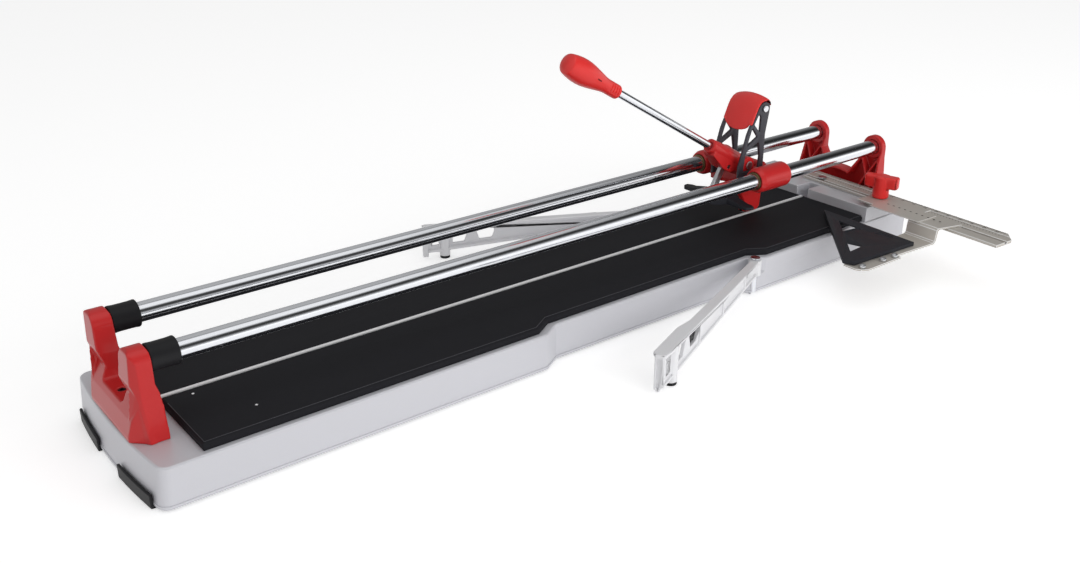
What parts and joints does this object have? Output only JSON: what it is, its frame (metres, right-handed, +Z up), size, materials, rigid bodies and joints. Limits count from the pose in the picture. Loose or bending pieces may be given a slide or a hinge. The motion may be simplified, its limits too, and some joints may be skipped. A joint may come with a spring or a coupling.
{
  "type": "manual tile cutter",
  "caption": "Manual tile cutter: ribbed base with rubber tables, chromed twin rails, sliding carriage with scoring wheel and lever, fence with scale bar and side stop, folding support arms.",
  "frame": {"origin": "on the underside of the base casting, on the spine rib below the breaker strip, halfway along the base", "axes": "+X along the rails from the operator's end to the fence, +Y to the left, +Z up"},
  "size_m": [1.191, 0.605, 0.344],
  "materials": {
    "cast_aluminium": "lacquered light grey casting",
    "bright_aluminium": "brushed extrusion",
    "chrome": "polished plating",
    "steel": "zinc-plated fasteners and links",
    "bronze": "sintered bronze bushes",
    "red_enamel": "gloss enamel on castings",
    "red_plastic": "moulded grip, cover and knob",
    "black_rubber": "matt rubber",
    "black_plastic": "glass-filled plastic",
    "grey_enamel": "dark grey enamel",
    "carbide": "ground carbide"
  },
  "bodies": {
    "base": {"base_casting": "cast_aluminium", "breaker_strip": "bright_aluminium", "table_pad_left": "black_rubber", "table_pad_right": "black_rubber", "front_bracket": "red_enamel", "rear_bracket": "red_enamel", "fence_block": "bright_aluminium", "bar_pivot_pin": "steel", "rail_left": "chrome", "rail_bumper_left": "black_rubber", "front_bolt_left": "steel", "rear_bolt_left": "steel", "front_foot_left": "black_rubber", "rear_foot_left": "black_rubber", "arm_pin_left": "chrome", "rail_right": "chrome", "rail_bumper_right": "black_rubber", "front_bolt_right": "steel", "rear_bolt_right": "steel", "front_foot_right": "black_rubber", "rear_foot_right": "black_rubber", "arm_pin_right": "chrome"},
    "carriage": {"carriage_casting": "red_enamel", "truss_pin": "chrome", "lever_pin": "steel", "head_cover": "red_plastic", "wheel_holder": "red_enamel", "wheel_axle": "steel", "truss_plate_left": "grey_enamel", "front_bush_left": "bronze", "rear_bush_left": "bronze", "front_screw_left": "steel", "rear_screw_left": "steel", "truss_plate_right": "grey_enamel", "front_bush_right": "bronze", "rear_bush_right": "bronze", "front_screw_right": "steel", "rear_screw_right": "steel"},
    "lever": {"lever_socket": "red_enamel", "lever_rod": "chrome", "lever_grip": "red_plastic", "link_pin": "steel"},
    "breaker": {"breaker_link": "steel", "breaker_foot": "black_plastic"},
    "wheel": {"scoring_wheel": "carbide"},
    "arm_left": {"arm_left": "bright_aluminium", "arm_foot_left": "black_rubber"},
    "arm_right": {"arm_right": "bright_aluminium", "arm_foot_right": "black_rubber"},
    "bar": {"scale_bar": "bright_aluminium"},
    "side_stop": {"stop_casting": "cast_aluminium", "scale_plate": "bright_aluminium", "set_square": "black_plastic", "clamp_stud": "steel", "stop_rivet_front": "steel", "stop_rivet_middle": "steel", "stop_rivet_rear": "steel"},
    "knob": {"clamp_knob": "red_plastic"}
  },
  "joints": [
    {"name": "carriage_slide", "type": "slide", "parent": "base", "child": "carriage", "axis": [1, 0, 0], "range_m": [-0.815, 0.13]},
    {"name": "lever_hinge", "type": "hinge", "parent": "carriage", "child": "lever", "pos_m": [0.332, 0, 0.143], "axis": [0, 1, 0], "range_deg": [-38, 25]},
    {"name": "breaker_hinge", "type": "hinge", "parent": "lever", "child": "breaker", "pos_m": [0.303, 0, 0.143], "axis": [0, 1, 0], "range_deg": [-25, 38]},
    {"name": "wheel_spin", "type": "hinge", "parent": "carriage", "child": "wheel", "pos_m": [0.354, 0, 0.0685], "axis": [0, 1, 0], "continuous": true},
    {"name": "arm_left_hinge", "type": "hinge", "parent": "base", "child": "arm_left", "pos_m": [0.247, 0.121, 0.0385], "axis": [0, 0, 1], "range_deg": [-62, 26]},
    {"name": "arm_right_hinge", "type": "hinge", "parent": "base", "child": "arm_right", "pos_m": [0.247, -0.121, 0.0385], "axis": [0, 0, 1], "range_deg": [-21.7, 66]},
    {"name": "bar_swivel", "type": "hinge", "parent": "base", "child": "bar", "pos_m": [0.537, 0, 0.0728], "axis": [0, 0, 1], "range_deg": [-3, 6]},
    {"name": "stop_slide", "type": "slide", "parent": "bar", "child": "side_stop", "axis": [-0.0523, -0.9986, 0], "range_m": [-0.003, 0.065]},
    {"name": "knob_turn", "type": "hinge", "parent": "side_stop", "child": "knob", "pos_m": [0.52588, -0.11658, 0.095], "axis": [0, 0, 1], "range_deg": [-90, 90]}
  ],
  "couplings": [
    {"joint": "breaker_hinge", "follows": "lever_hinge", "ratio": -1}
  ]
}
